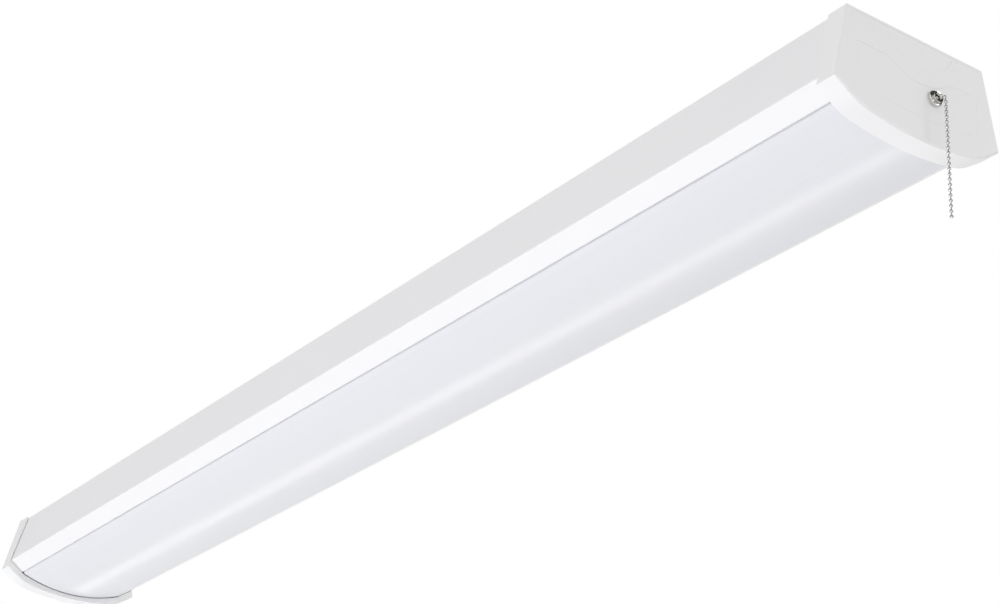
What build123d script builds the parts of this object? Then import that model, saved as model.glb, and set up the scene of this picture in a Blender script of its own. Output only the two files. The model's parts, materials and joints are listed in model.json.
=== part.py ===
from build123d import *
import math
import os

# Wraparound ceiling light, 48 inches long, seen from below when it is mounted.
# Millimetres. +X runs lengthwise towards the end with the pull chain, +Z points up
# into the ceiling, and the origin is the middle of the housing's back plate, on the
# face that lies against the ceiling.

# Overall sizes
fixture_length = 1219.2
back_half = 56.0
corner_half = 67.8
corner_drop = 49.5
lip_half = 53.0
lip_drop = 59.9
lens_sag = 9.8

# Sheet steel housing
sheet = 0.8
bend_radius = 1.2
lip_height = 9.0
housing_end_gap = 0.5
screw_hole_radius = 3.25
screw_hole_spacing = 812.8
keyhole_spacing = 609.6
keyhole_head_radius = 6.5
keyhole_neck_width = 5.0
keyhole_neck_length = 12.0
entry_radius = 11.1
entry_x = 90.0

# Moulded end caps
sleeve_depth = 16.4
cap_face_wall = 2.2
cap_wall = 1.8
cap_clearance = 0.4
rim_top = 3.0
rim_corner_out = 2.6
rim_corner_down = 6.7
rim_knee_in = 1.0
rim_knee_down = 8.3
rim_bottom = 4.5
rim_knee_radius = 45.0
cap_edge_chamfer = 1.0
cap_corner_radius = 1.6
tongue_width = 10.0
tongue_thickness = 1.8
tongue_reach = 26.0
tongue_offset = 34.0
barb_length = 4.0
barb_clearance = 0.4
barb_recess = 0.2

# Relief on the outer face of each end cap
relief_depth = 0.25
groove_width = 1.1
relief_centre_y = 2.0
relief_centre_z = 9.0
notch_radius = 32.0
ring_radius = 42.5
relief_top_inset = 2.7
relief_side_inset = 4.5
panel_half = 51.5
panel_inset = 16.5
panel_top = 24.0

# Diffuser lens
lens_wall = 1.5
lens_gap = 0.3
lens_end_gap = 0.5
lens_leg = 8.6

# Spring clips that grip the lens legs
clip_sheet = 0.5
clip_width = 14.0
clip_gap = 0.1
clip_count = 4
clip_pitch = 340.0
clip_arm = 6.5
clip_flare = 1.6

# Tray that carries the light strips
tray_drop = 25.0
tray_sheet = 0.6
tray_flat_half = 38.0
wing_half = 56.0
wing_drop = 39.0
tray_end_gap = 35.0
bracket_sheet = 1.0
bracket_width = 18.0
bracket_half = 39.0
bracket_foot = 12.0
bracket_pitch = 450.0
hook_width = 8.0
hook_reach = 4.0
hook_clearance = 0.1
screw_shank_radius = 1.9
shank_sides = 8
screw_head_flats = 6.4
screw_head_height = 2.2
screw_grip = 4.0

# Light strips
row_offset = 19.0
board_width = 16.0
board_thickness = 1.0
board_joint_gap = 6.0
board_end_margin = 4.0
chip_count = 16
chip_length = 3.5
chip_width = 2.8
chip_height = 0.7
chip_margin = 12.0
joint_neck_length = 5.2
joint_length = 12.0
joint_width = 8.0
joint_rise = 3.0
joint_depth = 2.4
joint_clearance = 0.5

# Driver and wiring
driver_x = -195.0
driver_length = 150.0
driver_half = 19.0
driver_height = 20.0
driver_ear = 11.0
driver_ear_width = 24.0
driver_ear_thickness = 1.2
driver_slot_length = 6.0
driver_edge_chamfer = 1.0
stud_radius = 1.9
stud_length = 6.0
stud_nut_flats = 7.0
stud_nut_height = 3.0
fit_clearance = 0.05
driver_lead_offset = 7.5
driver_lead_drop = 11.0
splice_x = 66.0
splice_pitch = 15.0
splice_length = 18.0
splice_width = 11.0
splice_height = 9.0
splice_chamfer = 0.8
splice_port_radius = 1.6
splice_port_pitch = 4.0
splice_port_depth = 6.0
ground_x = 16.0
ground_y = 22.0
terminal_radius = 4.0
terminal_sheet = 0.8
terminal_barrel_radius = 1.6
terminal_barrel_length = 5.0
lead_radius = 1.1
output_lead_radius = 0.9
lead_sides = 6
lead_drop = 6.0
live_lead_y = 46.0
switched_lead_y = 50.0
clamp_width = 6.0
clamp_margin = 2.4
clamp_slot_clearance = 0.1
clamp_places = (-150.0, 190.0, 360.0, 530.0)
bushing_bore_radius = 8.0
bushing_flange_flats = 26.0
bushing_depth = 7.0
bushing_clearance = 0.1

# Pull switch and its chain
switch_y = 13.3
switch_drop = 40.1
switch_length = 20.0
switch_width = 27.0
switch_height = 17.0
switch_edge_radius = 2.0
switch_back_chamfer = 1.0
switch_plate_sheet = 1.0
switch_plate_lap = 1.0
switch_lead_pitch = 10.0
switch_lead_side = 5.0
thread_radius = 4.0
thread_clearance = 0.15
thread_reach = 2.4
chain_bore_radius = 1.9
lock_nut_flats = 12.0
nut_thickness = 2.2
ring_nut_radius = 5.4
ring_nut_thickness = 2.35
ring_nut_chamfer = 0.4
bell_radius = 3.9
bell_lip = 0.5
bell_reach = 4.2
bead_radius = 1.2
bead_sides = 6
bead_chamfer = 0.5
bead_pitch = 3.65
link_radius = 0.5
link_sides = 4
link_gap = 0.4
chain_bend_radius = 5.2
first_bead_lead = 1.8
inner_beads = 2
hanging_beads = 21

half_length = fixture_length / 2
mouth_x = half_length - sleeve_depth
housing_half = half_length - cap_face_wall - housing_end_gap
lens_half = mouth_x - lens_end_gap
tray_half = half_length - tray_end_gap
lens_bottom = lip_drop + lens_sag
tray_floor = tray_drop + tray_sheet

os.makedirs("parts", exist_ok=True)


def save(solid, name):
    solid.label = name
    export_step(solid, f"parts/{name}.step")


# Housing: one sheet folded into a channel with flared sides, turned-in strips and lips
with BuildPart() as housing:
    with BuildSketch(Plane.YZ.offset(-housing_half)):
        with BuildLine():
            FilletPolyline(
                (-lip_half, -lip_drop + lip_height),
                (-lip_half, -lip_drop),
                (-corner_half, -corner_drop),
                (-back_half, 0),
                (back_half, 0),
                (corner_half, -corner_drop),
                (lip_half, -lip_drop),
                (lip_half, -lip_drop + lip_height),
                radius=bend_radius,
            )
            offset(amount=sheet, side=Side.RIGHT)
        make_face()
    extrude(amount=2 * housing_half)
    # Plain holes for screws into the ceiling
    with BuildSketch():
        with GridLocations(screw_hole_spacing, 0, 2, 1):
            Circle(screw_hole_radius)
    extrude(amount=-2 * sheet, mode=Mode.SUBTRACT)
    # Keyholes for hanging the fixture on screws that are already in
    with BuildSketch():
        with GridLocations(keyhole_spacing, 0, 2, 1):
            Circle(keyhole_head_radius)
            with Locations((keyhole_neck_length / 2, 0)):
                SlotOverall(keyhole_neck_length + keyhole_head_radius, keyhole_neck_width)
    extrude(amount=-2 * sheet, mode=Mode.SUBTRACT)
    # Supply entry
    with BuildSketch():
        with Locations((entry_x, 0)):
            Circle(entry_radius)
    extrude(amount=-2 * sheet, mode=Mode.SUBTRACT)
    # Hole for the earth screw
    with BuildSketch():
        with Locations((ground_x, ground_y)):
            Circle(screw_shank_radius + fit_clearance)
    extrude(amount=-2 * sheet, mode=Mode.SUBTRACT)
    # Windows for the snap tongues of the end caps
    with BuildSketch():
        with GridLocations(2 * (half_length - tongue_reach), 2 * tongue_offset, 2, 2):
            Rectangle(barb_length + 2 * barb_clearance, tongue_width + 2 * barb_clearance)
    extrude(amount=-2 * sheet, mode=Mode.SUBTRACT)
save(housing.part, "housing")

# Outline that the end caps close round: housing and lens together
with BuildSketch(Plane.YZ, mode=Mode.PRIVATE) as body_outline:
    with BuildLine():
        Polyline(
            (-lip_half, -lip_drop),
            (-corner_half, -corner_drop),
            (-back_half, 0),
            (back_half, 0),
            (corner_half, -corner_drop),
            (lip_half, -lip_drop),
        )
        ThreePointArc((lip_half, -lip_drop), (0, -lens_bottom), (-lip_half, -lip_drop))
    make_face()

# Outer outline of the end caps, a deeper rim with rounded knees
with BuildSketch(Plane.YZ, mode=Mode.PRIVATE) as cap_outline:
    knee_y = lip_half - rim_knee_in
    knee_z = -lip_drop - rim_knee_down
    corner_y = corner_half + rim_corner_out
    corner_z = -corner_drop - rim_corner_down
    with BuildLine():
        Polyline(
            (-knee_y, knee_z),
            (-corner_y, corner_z),
            (-back_half - rim_top, 0),
            (back_half + rim_top, 0),
            (corner_y, corner_z),
            (knee_y, knee_z),
        )
        ThreePointArc((knee_y, knee_z), (0, -lens_bottom - rim_bottom), (-knee_y, knee_z))
    make_face()
    fillet(cap_outline.vertices().group_by(Axis.Y)[0], rim_knee_radius)
    fillet(cap_outline.vertices().group_by(Axis.Y)[-1], cap_corner_radius)


def draw_notch():
    """Outline of the sunk segment of a circle under the top edge."""
    Line((relief_centre_y - notch_y, notch_top), (relief_centre_y + notch_y, notch_top))
    ThreePointArc(
        (relief_centre_y - notch_y, notch_top),
        (relief_centre_y, relief_centre_z - notch_radius),
        (relief_centre_y + notch_y, notch_top),
    )


def draw_panel():
    """Outline of the sunk panel, which a wider circle cuts and which follows the rim below."""
    panel_z = -panel_top
    ring_y = math.sqrt(ring_radius**2 - (relief_centre_z - panel_z) ** 2)
    low_z = -lens_bottom - rim_bottom + panel_inset
    low_side = low_z + (knee_z + lens_bottom + rim_bottom) * (panel_half / knee_y) ** 2
    Polyline((-panel_half, low_side), (-panel_half, panel_z), (relief_centre_y - ring_y, panel_z))
    ThreePointArc(
        (relief_centre_y - ring_y, panel_z),
        (relief_centre_y, relief_centre_z - ring_radius),
        (relief_centre_y + ring_y, panel_z),
    )
    Polyline((relief_centre_y + ring_y, panel_z), (panel_half, panel_z), (panel_half, low_side))
    ThreePointArc((panel_half, low_side), (0, low_z), (-panel_half, low_side))


# End caps: moulded sleeves closed by a face with a sunk notch and a sunk panel
notch_top = -relief_top_inset
notch_y = math.sqrt(notch_radius**2 - (relief_centre_z - notch_top) ** 2)
top_groove_end = back_half + rim_top - relief_side_inset
with BuildPart() as end_cap_pull:
    with BuildSketch(Plane.YZ.offset(mouth_x)):
        add(cap_outline.sketch_local)
    extrude(amount=sleeve_depth)
    chamfer(end_cap_pull.faces().sort_by(Axis.X)[-1].edges(), cap_edge_chamfer)
    # Mouth that slides over the housing and closes round the lens
    with BuildSketch(Plane.YZ.offset(mouth_x)):
        add(body_outline.sketch_local)
        offset(amount=cap_clearance, kind=Kind.INTERSECTION)
        with Locations((0, cap_clearance)):
            Rectangle(2 * back_half, 4 * cap_clearance)
    extrude(amount=sleeve_depth - cap_face_wall, mode=Mode.SUBTRACT)
    # Core behind the rim, so that the deep rim is a skin and a lip
    with BuildSketch(Plane.YZ.offset(mouth_x + cap_wall)):
        add(cap_outline.sketch_local)
        offset(amount=-cap_wall)
        with Locations((0, 0)):
            Rectangle(4 * corner_half, 2 * corner_drop, mode=Mode.SUBTRACT)
    extrude(amount=sleeve_depth - cap_face_wall - cap_wall, mode=Mode.SUBTRACT)
    # Snap tongues under the back plate, with barbs that stand in its windows
    with BuildSketch(Plane.XY.offset(-sheet)):
        with Locations((half_length - tongue_reach - barb_length, 0)):
            with GridLocations(0, 2 * tongue_offset, 1, 2):
                Rectangle(
                    tongue_reach + barb_length - cap_face_wall / 2,
                    tongue_width,
                    align=(Align.MIN, Align.CENTER),
                )
    extrude(amount=-tongue_thickness)
    with BuildSketch(Plane.XY.offset(-sheet)):
        with Locations((half_length - tongue_reach, 0)):
            with GridLocations(0, 2 * tongue_offset, 1, 2):
                Rectangle(barb_length, tongue_width)
    extrude(amount=sheet - barb_recess)
    # Relief, with a groove along the top edge that runs out of the notch to either side
    with BuildSketch(Plane.YZ.offset(half_length)):
        with BuildLine():
            draw_notch()
        make_face()
        with BuildLine():
            draw_panel()
        make_face()
        with Locations((0, notch_top)):
            Rectangle(2 * top_groove_end, groove_width, align=(Align.CENTER, Align.MAX))
    extrude(amount=-relief_depth, mode=Mode.SUBTRACT)
with BuildPart() as end_cap_far:
    add(end_cap_pull.part)
    mirror(about=Plane.YZ)
    split(bisect_by=Plane.YZ, keep=Keep.BOTTOM)
save(end_cap_far.part, "end_cap_far")
# Only the cap at the pull-chain end is bored for the switch
with end_cap_pull:
    with BuildSketch(Plane.YZ.offset(half_length)):
        with Locations((switch_y, -switch_drop)):
            Circle(thread_radius + thread_clearance)
    extrude(amount=-cap_face_wall, mode=Mode.SUBTRACT)
save(end_cap_pull.part, "end_cap_pull")

# Diffuser lens: a shallow arch with a leg along each edge
leg_half = lip_half - lens_gap
with BuildPart() as lens:
    with BuildSketch(Plane.YZ.offset(-lens_half)):
        with BuildLine():
            Line((-leg_half, -lip_drop + lens_leg), (-leg_half, -lip_drop))
            ThreePointArc((-leg_half, -lip_drop), (0, -lens_bottom), (leg_half, -lip_drop))
            Line((leg_half, -lip_drop), (leg_half, -lip_drop + lens_leg))
            offset(amount=lens_wall, side=Side.LEFT)
        make_face()
    extrude(amount=2 * lens_half)
save(lens.part, "lens")

# Spring clips: each one hooks over a lip and holds a lens leg against it
lip_top = -lip_drop + lip_height
clip_outside = lip_half + sheet
clip_inside = leg_half - lens_wall - clip_gap
with BuildPart() as lens_clips:
    with BuildSketch(Plane.YZ.offset(-clip_width / 2)) as clip_profile:
        with BuildLine():
            Polyline(
                (clip_outside, lip_top - clip_arm),
                (clip_outside + clip_sheet, lip_top - clip_arm),
                (clip_outside + clip_sheet, lip_top + clip_sheet),
                (clip_inside - clip_sheet, lip_top + clip_sheet),
                (clip_inside - clip_sheet, lip_top - clip_arm),
                (clip_inside - clip_sheet - clip_flare, lip_top - clip_arm - clip_flare),
                (clip_inside - clip_flare, lip_top - clip_arm - clip_flare),
                (clip_inside, lip_top - clip_arm),
                (clip_inside, lip_top),
                (clip_outside, lip_top),
                close=True,
            )
        make_face()
    with Locations(*[(clip_pitch * (n - (clip_count - 1) / 2), 0, 0) for n in range(clip_count)]):
        add(extrude(clip_profile.sketch, amount=clip_width, mode=Mode.PRIVATE))
    mirror(about=Plane.XZ)
save(lens_clips.part, "lens_clips")

# Tray for the light strips, a folded reflector with two sloping wings
foot_spread = 2 * bracket_half - bracket_foot
with BuildPart() as led_tray:
    with BuildSketch(Plane.YZ.offset(-tray_half)):
        with BuildLine():
            Polyline(
                (-wing_half, -wing_drop),
                (-tray_flat_half, -tray_drop),
                (tray_flat_half, -tray_drop),
                (wing_half, -wing_drop),
            )
            offset(amount=tray_sheet, side=Side.RIGHT)
        make_face()
    extrude(amount=2 * tray_half)
    # Windows where the leads come down to the joints of the light strips
    with BuildSketch(Plane.XY.offset(-tray_drop)):
        with GridLocations(0, 2 * row_offset, 1, 2):
            Rectangle(joint_neck_length + 2 * joint_clearance, joint_width + 2 * joint_clearance)
    extrude(amount=-2 * tray_sheet, mode=Mode.SUBTRACT)
    # Screw holes over the feet of the middle bracket, and slots for the hooks of the outer two
    with BuildSketch(Plane.XY.offset(-tray_drop)):
        with GridLocations(0, foot_spread, 1, 2):
            Circle(screw_shank_radius + fit_clearance)
        with GridLocations(2 * bracket_pitch, foot_spread, 2, 2):
            Rectangle(bracket_sheet + hook_reach + 2 * hook_clearance, hook_width + 2 * hook_clearance)
    extrude(amount=-2 * tray_sheet, mode=Mode.SUBTRACT)
save(led_tray.part, "led_tray")

# Brackets under the back plate: the tray slides onto the hooks of the outer two and is
# screwed to the middle one
for index, bracket_x in enumerate((-bracket_pitch, 0, bracket_pitch), start=1):
    with BuildPart() as bracket:
        with BuildSketch(Plane.YZ.offset(bracket_x - bracket_width / 2)):
            with BuildLine():
                Polyline(
                    (-bracket_half + bracket_foot, -tray_drop),
                    (-bracket_half, -tray_drop),
                    (-bracket_half, -sheet),
                    (bracket_half, -sheet),
                    (bracket_half, -tray_drop),
                    (bracket_half - bracket_foot, -tray_drop),
                )
                offset(amount=bracket_sheet, side=Side.RIGHT)
            make_face()
        extrude(amount=bracket_width)
        if bracket_x == 0:
            with BuildSketch(Plane.XY.offset(-tray_drop)):
                with GridLocations(0, foot_spread, 1, 2):
                    Circle(screw_shank_radius + fit_clearance)
            extrude(amount=bracket_sheet, mode=Mode.SUBTRACT)
        else:
            shank_x = bracket_x - (bracket_sheet + hook_reach) / 2
            hook_drop = -tray_floor - hook_clearance
            with BuildSketch(Plane.XZ.offset(-foot_spread / 2 - hook_width / 2)):
                with BuildLine():
                    Polyline(
                        (shank_x, -tray_drop),
                        (shank_x, hook_drop),
                        (shank_x - hook_reach, hook_drop),
                        (shank_x - hook_reach, hook_drop - bracket_sheet),
                        (shank_x + bracket_sheet, hook_drop - bracket_sheet),
                        (shank_x + bracket_sheet, -tray_drop),
                        close=True,
                    )
                make_face()
            extrude(amount=hook_width)
            mirror(about=Plane.XZ)
    save(bracket.part, f"tray_bracket_{index}")

# Hex-head screws through the tray into the feet of the middle bracket
with BuildPart() as tray_screws:
    screw_places = GridLocations(0, foot_spread, 1, 2)
    with BuildSketch(Plane.XY.offset(-tray_floor)):
        with screw_places:
            RegularPolygon(screw_head_flats / 2, 6, major_radius=False)
    extrude(amount=-screw_head_height)
    with BuildSketch(Plane.XY.offset(-tray_floor)):
        with screw_places:
            RegularPolygon(screw_shank_radius, shank_sides)
    extrude(amount=screw_grip)
save(tray_screws.part, "tray_screws")

# Light strips: two rows of two boards, each with a line of light-emitting chips
board_start = board_joint_gap / 2
board_length = tray_half - board_end_margin - board_start
chip_pitch = (board_length - 2 * chip_margin) / (chip_count - 1)
board_places = [(end, row) for end in (-1, 1) for row in (-1, 1)]
for index, (end, row) in enumerate(board_places, start=1):
    board_x = end * (board_start + board_length / 2)
    with BuildPart() as board:
        with BuildSketch(Plane.XY.offset(-tray_floor)):
            with Locations((board_x, row * row_offset)):
                Rectangle(board_length, board_width)
        extrude(amount=-board_thickness)
    save(board.part, f"led_board_{index}")
    with BuildPart() as chips:
        with BuildSketch(Plane.XY.offset(-tray_floor - board_thickness)):
            with Locations((board_x, row * row_offset)):
                with GridLocations(chip_pitch, 0, chip_count, 1):
                    Rectangle(chip_length, chip_width)
        extrude(amount=-chip_height)
    save(chips.part, f"led_chips_{index}")

# Joint connectors that bridge the boards of a row and take the driver's leads from above
with BuildPart() as board_joints:
    with BuildSketch(Plane.XY.offset(-tray_floor - board_thickness)):
        with GridLocations(0, 2 * row_offset, 1, 2):
            Rectangle(joint_length, joint_width)
    extrude(amount=-joint_depth)
    chamfer(board_joints.faces().group_by(Axis.Z)[0].edges(), joint_depth / 4)
    with BuildSketch(Plane.XY.offset(-tray_floor - board_thickness)):
        with GridLocations(0, 2 * row_offset, 1, 2):
            Rectangle(joint_neck_length, joint_width)
    extrude(amount=tray_sheet + board_thickness + joint_rise)
save(board_joints.part, "board_joints")

# Driver: a closed can with a slotted ear at each end, held by nuts on studs
with BuildPart() as driver_case:
    with BuildSketch(Plane.XY.offset(-sheet)):
        with Locations((driver_x, 0)):
            Rectangle(driver_length, 2 * driver_half)
    extrude(amount=-driver_height)
    chamfer(driver_case.edges().filter_by(Axis.Z), driver_edge_chamfer)
    chamfer(driver_case.faces().sort_by(Axis.Z)[0].edges(), driver_edge_chamfer / 2)
    with BuildSketch(Plane.XY.offset(-sheet)):
        with Locations((driver_x, 0)):
            Rectangle(driver_length + 2 * driver_ear, driver_ear_width)
            with GridLocations(driver_length + driver_ear, 0, 2, 1):
                Rectangle(driver_slot_length, 2 * stud_radius + 2 * fit_clearance, mode=Mode.SUBTRACT)
    extrude(amount=-driver_ear_thickness)
save(driver_case.part, "driver_case")

stud_places = [driver_x + side * (driver_length + driver_ear) / 2 for side in (-1, 1)]
with BuildPart() as driver_studs:
    with BuildSketch(Plane.XY.offset(-sheet)):
        with Locations(*[(place, 0) for place in stud_places]):
            RegularPolygon(stud_radius, shank_sides)
    extrude(amount=-stud_length)
save(driver_studs.part, "driver_studs")

with BuildPart() as driver_nuts:
    with BuildSketch(Plane.XY.offset(-sheet - driver_ear_thickness)):
        with Locations(*[(place, 0) for place in stud_places]):
            RegularPolygon(stud_nut_flats / 2, 6, major_radius=False)
            RegularPolygon(stud_radius + fit_clearance, shank_sides, mode=Mode.SUBTRACT)
    extrude(amount=-stud_nut_height)
save(driver_nuts.part, "driver_nuts")

# Push-in connectors that lie on the tray and join the supply to the fixture's leads
splice_middle = -tray_drop + splice_height / 2
splice_rows = {"splice_neutral": -splice_pitch, "splice_ground": 0.0, "splice_live": splice_pitch}
for splice_name, splice_y in splice_rows.items():
    with BuildPart() as splice:
        with BuildSketch(Plane.XY.offset(-tray_drop)):
            with Locations((splice_x, splice_y)):
                Rectangle(splice_length, splice_width)
        extrude(amount=splice_height)
        chamfer(splice.faces().sort_by(Axis.Z)[-1].edges(), splice_chamfer)
        for end in (-1, 1):
            with BuildSketch(Plane.YZ.offset(splice_x + end * splice_length / 2)):
                with Locations((splice_y, splice_middle)):
                    with GridLocations(splice_port_pitch, 0, 2, 1):
                        RegularPolygon(splice_port_radius, lead_sides)
            extrude(amount=-end * splice_port_depth, mode=Mode.SUBTRACT)
    save(splice.part, splice_name)

# Earth screw and the ring terminal under its head
terminal_z = -sheet - terminal_sheet
with BuildPart() as ground_screw:
    with BuildSketch(Plane.XY.offset(terminal_z)):
        with Locations((ground_x, ground_y)):
            RegularPolygon(screw_head_flats / 2, 6, major_radius=False)
    extrude(amount=-screw_head_height)
    with BuildSketch(Plane.XY.offset(terminal_z)):
        with Locations((ground_x, ground_y)):
            RegularPolygon(screw_shank_radius, shank_sides)
    extrude(amount=terminal_sheet + sheet - fit_clearance)
save(ground_screw.part, "ground_screw")

terminal_barrel_x = ground_x + terminal_radius
terminal_barrel_z = -sheet - terminal_barrel_radius
with BuildPart() as ground_terminal:
    with BuildSketch(Plane.XY.offset(-sheet)):
        with Locations((ground_x, ground_y)):
            RegularPolygon(terminal_radius, shank_sides)
        with Locations((terminal_barrel_x, ground_y)):
            Rectangle(terminal_radius, 2 * terminal_barrel_radius)
        with Locations((ground_x, ground_y)):
            Circle(screw_shank_radius + fit_clearance, mode=Mode.SUBTRACT)
    extrude(amount=-terminal_sheet)
    with BuildSketch(Plane.YZ.offset(terminal_barrel_x)):
        with Locations((ground_y, terminal_barrel_z)):
            Rectangle(2 * terminal_barrel_radius, 2 * terminal_barrel_radius)
    extrude(amount=terminal_barrel_length)
    chamfer(
        ground_terminal.edges().filter_by(Axis.X).group_by(Axis.Z)[0],
        terminal_barrel_radius / 2,
    )
save(ground_terminal.part, "ground_terminal")

# Bushing that lines the supply entry, flush with the ceiling face
with BuildPart() as supply_bushing:
    with BuildSketch(Plane.XY):
        with Locations((entry_x, 0)):
            Circle(entry_radius - bushing_clearance)
    extrude(amount=-sheet)
    with BuildSketch(Plane.XY.offset(-sheet)):
        with Locations((entry_x, 0)):
            RegularPolygon(bushing_flange_flats / 2, 6, major_radius=False)
    extrude(amount=sheet - bushing_depth)
    with Locations((entry_x, 0, 0)):
        Hole(bushing_bore_radius)
save(supply_bushing.part, "supply_bushing")


def corner_radii(points):
    """Radius for each corner of a lead: 0.45 of the shorter run over the tangent of half the turn."""
    radii = []
    for before, corner, after in zip(points, points[1:], points[2:]):
        run_in = Vector(corner) - Vector(before)
        run_out = Vector(after) - Vector(corner)
        half_turn = math.radians(run_in.get_angle(run_out)) / 2
        radii.append(0.45 * min(run_in.length, run_out.length) / math.tan(half_turn))
    return radii


def save_lead(name, points, radius):
    radii = corner_radii(points)
    with BuildPart() as lead:
        with BuildLine() as route:
            FilletPolyline(*points, radius=radii)
        with BuildSketch(Plane(origin=points[0], z_dir=Vector(points[1]) - Vector(points[0]))) as section:
            RegularPolygon(radius, lead_sides)
        sweep(path=route.wires()[0])
    length = route.wires()[0].length
    share = lead.part.volume / (section.sketch.area * length)
    print(name, "radii", [round(r, 1) for r in radii], "volume share", round(share, 5))
    print(name, "length", round(length, 1))
    save(lead.part, name)


port = splice_port_pitch / 2
splice_end = splice_length / 2 - splice_port_depth
switch_top = -switch_drop + switch_height / 2
plate_x = half_length - cap_face_wall - nut_thickness - switch_plate_sheet
switch_lead_x = plate_x - switch_length + switch_lead_side
switch_lead_y = switch_y + switch_lead_side
driver_end = driver_x - driver_length / 2
save_lead(
    "lead_live",
    [
        (splice_x + splice_end, splice_pitch + port, splice_middle),
        (splice_x + 34, splice_pitch + port, splice_middle),
        (splice_x + 72, 38, -9),
        (splice_x + 108, live_lead_y, -lead_drop),
        (switch_lead_x - 36, live_lead_y, -lead_drop),
        (switch_lead_x - 9, 37, -lead_drop - 1),
        (switch_lead_x, switch_lead_y, -14),
        (switch_lead_x, switch_lead_y, switch_top),
    ],
    lead_radius,
)
save_lead(
    "lead_switched",
    [
        (switch_lead_x + switch_lead_pitch, switch_lead_y, switch_top),
        (switch_lead_x + switch_lead_pitch, switch_lead_y, -14),
        (switch_lead_x + switch_lead_pitch - 7, 37, -lead_drop - 2),
        (switch_lead_x - 30, switched_lead_y, -lead_drop),
        (driver_end + 20, switched_lead_y, -lead_drop),
        (driver_end - 24, 44, -8),
        (driver_end - 42, 22, -driver_lead_drop),
        (driver_end - 26, driver_lead_offset, -driver_lead_drop),
        (driver_end, driver_lead_offset, -driver_lead_drop),
    ],
    lead_radius,
)
save_lead(
    "lead_neutral",
    [
        (splice_x - splice_end, -splice_pitch - port, splice_middle),
        (splice_x - 40, -splice_pitch - port, splice_middle),
        (splice_x - 110, -28, -13),
        (driver_end + 6, -29, -driver_lead_drop - 1),
        (driver_end - 24, -27, -driver_lead_drop),
        (driver_end - 35, -16, -driver_lead_drop),
        (driver_end - 24, -driver_lead_offset, -driver_lead_drop),
        (driver_end, -driver_lead_offset, -driver_lead_drop),
    ],
    lead_radius,
)
save_lead(
    "lead_ground",
    [
        (splice_x - splice_end, port, splice_middle),
        (splice_x - 14, port, splice_middle),
        (terminal_barrel_x + terminal_barrel_length + 9, ground_y, terminal_barrel_z),
        (terminal_barrel_x + terminal_barrel_length, ground_y, terminal_barrel_z),
    ],
    lead_radius,
)
joint_top = -tray_drop + joint_rise
for name, side in (("lead_output_left", -1), ("lead_output_right", 1)):
    save_lead(
        name,
        [
            (driver_x + driver_length / 2, side * driver_lead_offset, -driver_lead_drop),
            (driver_x + driver_length / 2 + 40, side * driver_lead_offset, -driver_lead_drop),
            (0, side * row_offset, -4.5),
            (0, side * row_offset, joint_top),
        ],
        output_lead_radius,
    )

# Clamps that hold the two long leads under the back plate
clamp_middle = (live_lead_y + switched_lead_y) / 2
with BuildPart() as lead_clamps:
    for place in clamp_places:
        with BuildSketch(Plane.YZ.offset(place - clamp_width / 2)):
            with Locations((clamp_middle, -sheet)):
                Rectangle(
                    switched_lead_y - live_lead_y + 2 * clamp_margin,
                    lead_drop - sheet + clamp_margin,
                    align=(Align.CENTER, Align.MAX),
                )
            with Locations((live_lead_y, -sheet), (switched_lead_y, -sheet)):
                Rectangle(
                    2 * lead_radius + 2 * clamp_slot_clearance,
                    lead_drop - sheet + lead_radius + clamp_slot_clearance,
                    align=(Align.CENTER, Align.MAX),
                    mode=Mode.SUBTRACT,
                )
        extrude(amount=clamp_width)
save(lead_clamps.part, "lead_clamps")

# Pull switch inside the end cap
axis_z = -switch_drop
with BuildPart() as switch_body:
    with BuildSketch(Plane.YZ.offset(plate_x)):
        with Locations((switch_y, axis_z)):
            Rectangle(switch_width, switch_height)
    extrude(amount=-switch_length)
    chamfer(switch_body.edges().filter_by(Axis.X), switch_edge_radius)
    chamfer(switch_body.faces().sort_by(Axis.X)[0].edges(), switch_back_chamfer)
save(switch_body.part, "switch_body")

with BuildPart() as switch_plate:
    with BuildSketch(Plane.YZ.offset(plate_x)):
        with Locations((switch_y, axis_z)):
            Rectangle(switch_width + 2 * switch_plate_lap, switch_height - 2 * switch_plate_lap)
            Circle(chain_bore_radius, mode=Mode.SUBTRACT)
    extrude(amount=switch_plate_sheet)
save(switch_plate.part, "switch_plate")

bushing_start = plate_x + switch_plate_sheet
with BuildPart() as switch_bushing:
    with BuildSketch(Plane.YZ.offset(bushing_start)):
        with Locations((switch_y, axis_z)):
            Circle(thread_radius)
            Circle(chain_bore_radius, mode=Mode.SUBTRACT)
    extrude(amount=nut_thickness + cap_face_wall + thread_reach)
save(switch_bushing.part, "switch_bushing")

with BuildPart() as lock_nut:
    with BuildSketch(Plane.YZ.offset(bushing_start)):
        with Locations((switch_y, axis_z)):
            RegularPolygon(lock_nut_flats / 2, 6, major_radius=False)
            Circle(thread_radius + fit_clearance, mode=Mode.SUBTRACT)
    extrude(amount=nut_thickness)
save(lock_nut.part, "lock_nut")

# Round nut that clamps the switch to the end cap from outside, in the sunk panel
nut_seat = half_length - relief_depth
with BuildPart() as ring_nut:
    with BuildSketch(Plane.YZ.offset(nut_seat)):
        with Locations((switch_y, axis_z)):
            Circle(ring_nut_radius)
    extrude(amount=ring_nut_thickness)
    chamfer(ring_nut.faces().sort_by(Axis.X)[-1].edges(), ring_nut_chamfer)
    with BuildSketch(Plane.YZ.offset(nut_seat)):
        with Locations((switch_y, axis_z)):
            Circle(thread_radius + fit_clearance)
    extrude(amount=ring_nut_thickness, mode=Mode.SUBTRACT)
save(ring_nut.part, "ring_nut")

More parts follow.
